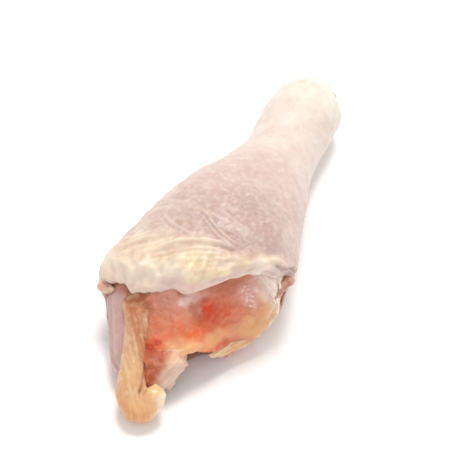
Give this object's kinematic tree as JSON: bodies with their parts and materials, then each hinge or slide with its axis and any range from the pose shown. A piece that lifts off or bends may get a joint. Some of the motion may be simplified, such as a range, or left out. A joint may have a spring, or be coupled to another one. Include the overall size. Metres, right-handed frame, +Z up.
{
  "type": "raw chicken drumette",
  "caption": "Raw poultry wing piece lying on its underside: pear-shaped meat in a sleeve of pale skin, cut open at the wide end, with the joint's gristle knob showing.",
  "frame": {"origin": "middle of the part in plan, on the surface that it lies on", "axes": "+Y along the part from the wide cut end to the small end, +X to its right side, +Z up"},
  "size_m": [0.0385, 0.0953, 0.0274],
  "materials": {
    "skin": "moist pale chicken skin, pink over the muscle and cream over the fat",
    "meat": "moist raw meat, salmon pink with redder places",
    "bone": "pale bone under a smooth cap of cartilage",
    "gristle": "moist tan tendon and cartilage",
    "membrane": "thin moist whitish membrane"
  },
  "bodies": {
    "root": {"skin": "skin", "meat": "meat", "bone": "bone", "gristle": "gristle", "membrane": "membrane"}
  },
  "joints": []
}
